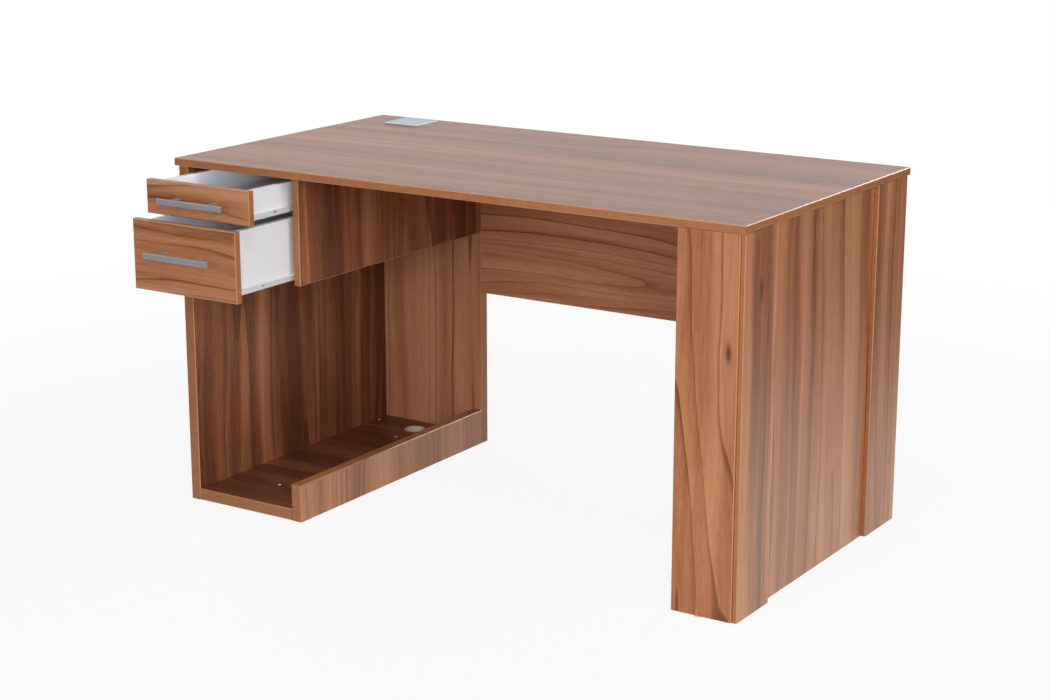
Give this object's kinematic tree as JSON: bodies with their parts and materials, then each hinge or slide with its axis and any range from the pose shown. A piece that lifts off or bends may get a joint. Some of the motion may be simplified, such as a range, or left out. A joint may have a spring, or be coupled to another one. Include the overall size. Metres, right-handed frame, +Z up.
{
  "type": "kneehole desk",
  "caption": "Kneehole desk with drawers on roller slides over an open computer bay, a panelled leg, a modesty panel and a lidded cable port in the top.",
  "frame": {"origin": "middle of the floor box that the desk fills with its drawers pulled out as pictured", "axes": "+X along the desktop to the panelled leg, -Y towards the user, +Z up"},
  "size_m": [1.33, 0.918, 0.754],
  "materials": {
    "walnut": "satin walnut-look foil on board",
    "edging": "satin edge strip",
    "drawer_board": "white coated board",
    "rail": "white powder coat",
    "steel": "zinc plated",
    "plastic": "moulded",
    "handle": "satin",
    "port": "satin",
    "dowel": "plain beech"
  },
  "bodies": {
    "desk_frame": {"desktop": "walnut", "desktop_edging": "edging", "left_side_panel": "walnut", "tray_board": "walnut", "tray_lip": "walnut", "pedestal_back": "walnut", "drawer_housing_panel": "walnut", "modesty_panel": "walnut", "leg_side_panel": "walnut", "leg_front_panel": "walnut", "leg_front_plank": "walnut", "leg_rear_plank": "walnut", "pedestal_edging": "edging", "leg_edging": "edging", "port_frame": "port", "cabinet_roller_axles": "steel", "frame_dowels": "dowel", "cam_housings": "steel", "cam_bolts": "steel", "floor_glides": "plastic", "cabinet_rail_upper_left": "rail", "cabinet_rail_upper_right": "rail", "cabinet_rail_lower_left": "rail", "cabinet_rail_lower_right": "rail"},
    "port_lid": {"port_lid": "port"},
    "upper_drawer": {"upper_drawer_front": "walnut", "upper_drawer_front_edging": "edging", "upper_drawer_side_left": "drawer_board", "upper_drawer_side_right": "drawer_board", "upper_drawer_back": "drawer_board", "upper_drawer_bottom": "drawer_board", "upper_drawer_handle": "handle", "upper_drawer_handle_screws": "steel", "upper_drawer_rail_left": "rail", "upper_drawer_rail_right": "rail", "upper_drawer_roller_axles": "steel", "upper_drawer_rail_screws": "steel"},
    "lower_drawer": {"lower_drawer_front": "walnut", "lower_drawer_front_edging": "edging", "lower_drawer_side_left": "drawer_board", "lower_drawer_side_right": "drawer_board", "lower_drawer_back": "drawer_board", "lower_drawer_bottom": "drawer_board", "lower_drawer_handle": "handle", "lower_drawer_handle_screws": "steel", "lower_drawer_rail_left": "rail", "lower_drawer_rail_right": "rail", "lower_drawer_roller_axles": "steel", "lower_drawer_rail_screws": "steel"},
    "cabinet_roller_upper_left": {"cabinet_roller_upper_left": "plastic"},
    "drawer_roller_upper_left": {"drawer_roller_upper_left": "plastic"},
    "cabinet_roller_upper_right": {"cabinet_roller_upper_right": "plastic"},
    "drawer_roller_upper_right": {"drawer_roller_upper_right": "plastic"},
    "cabinet_roller_lower_left": {"cabinet_roller_lower_left": "plastic"},
    "drawer_roller_lower_left": {"drawer_roller_lower_left": "plastic"},
    "cabinet_roller_lower_right": {"cabinet_roller_lower_right": "plastic"},
    "drawer_roller_lower_right": {"drawer_roller_lower_right": "plastic"}
  },
  "joints": [
    {"name": "upper_drawer_slide", "type": "slide", "parent": "desk_frame", "child": "upper_drawer", "axis": [0, -1, 0], "range_m": [-0.13, 0.25]},
    {"name": "lower_drawer_slide", "type": "slide", "parent": "desk_frame", "child": "lower_drawer", "axis": [0, -1, 0], "range_m": [-0.175, 0.205]},
    {"name": "port_lid_hinge", "type": "hinge", "parent": "desk_frame", "child": "port_lid", "pos_m": [-0.53, 0.4232, 0.7525], "axis": [-1, 0, 0], "range_deg": [0, 100]},
    {"name": "cabinet_roller_upper_left_spin", "type": "hinge", "parent": "desk_frame", "child": "cabinet_roller_upper_left", "pos_m": [-0.6345, -0.21, 0.6631], "axis": [1, 0, 0], "continuous": true},
    {"name": "drawer_roller_upper_left_spin", "type": "hinge", "parent": "upper_drawer", "child": "drawer_roller_upper_left", "pos_m": [-0.6328, 0.119, 0.6605], "axis": [1, 0, 0], "continuous": true},
    {"name": "cabinet_roller_upper_right_spin", "type": "hinge", "parent": "desk_frame", "child": "cabinet_roller_upper_right", "pos_m": [-0.3845, -0.21, 0.6631], "axis": [1, 0, 0], "continuous": true},
    {"name": "drawer_roller_upper_right_spin", "type": "hinge", "parent": "upper_drawer", "child": "drawer_roller_upper_right", "pos_m": [-0.3862, 0.119, 0.6605], "axis": [1, 0, 0], "continuous": true},
    {"name": "cabinet_roller_lower_left_spin", "type": "hinge", "parent": "desk_frame", "child": "cabinet_roller_lower_left", "pos_m": [-0.6345, -0.21, 0.5191], "axis": [1, 0, 0], "continuous": true},
    {"name": "drawer_roller_lower_left_spin", "type": "hinge", "parent": "lower_drawer", "child": "drawer_roller_lower_left", "pos_m": [-0.6328, 0.074, 0.5165], "axis": [1, 0, 0], "continuous": true},
    {"name": "cabinet_roller_lower_right_spin", "type": "hinge", "parent": "desk_frame", "child": "cabinet_roller_lower_right", "pos_m": [-0.3845, -0.21, 0.5191], "axis": [1, 0, 0], "continuous": true},
    {"name": "drawer_roller_lower_right_spin", "type": "hinge", "parent": "lower_drawer", "child": "drawer_roller_lower_right", "pos_m": [-0.3862, 0.074, 0.5165], "axis": [1, 0, 0], "continuous": true}
  ],
  "couplings": [
    {"joint": "cabinet_roller_upper_left_spin", "follows": "upper_drawer_slide", "rad_per_m": 125},
    {"joint": "drawer_roller_upper_left_spin", "follows": "upper_drawer_slide", "rad_per_m": 125},
    {"joint": "cabinet_roller_upper_right_spin", "follows": "upper_drawer_slide", "rad_per_m": 125},
    {"joint": "drawer_roller_upper_right_spin", "follows": "upper_drawer_slide", "rad_per_m": 125},
    {"joint": "cabinet_roller_lower_left_spin", "follows": "lower_drawer_slide", "rad_per_m": 125},
    {"joint": "drawer_roller_lower_left_spin", "follows": "lower_drawer_slide", "rad_per_m": 125},
    {"joint": "cabinet_roller_lower_right_spin", "follows": "lower_drawer_slide", "rad_per_m": 125},
    {"joint": "drawer_roller_lower_right_spin", "follows": "lower_drawer_slide", "rad_per_m": 125}
  ]
}
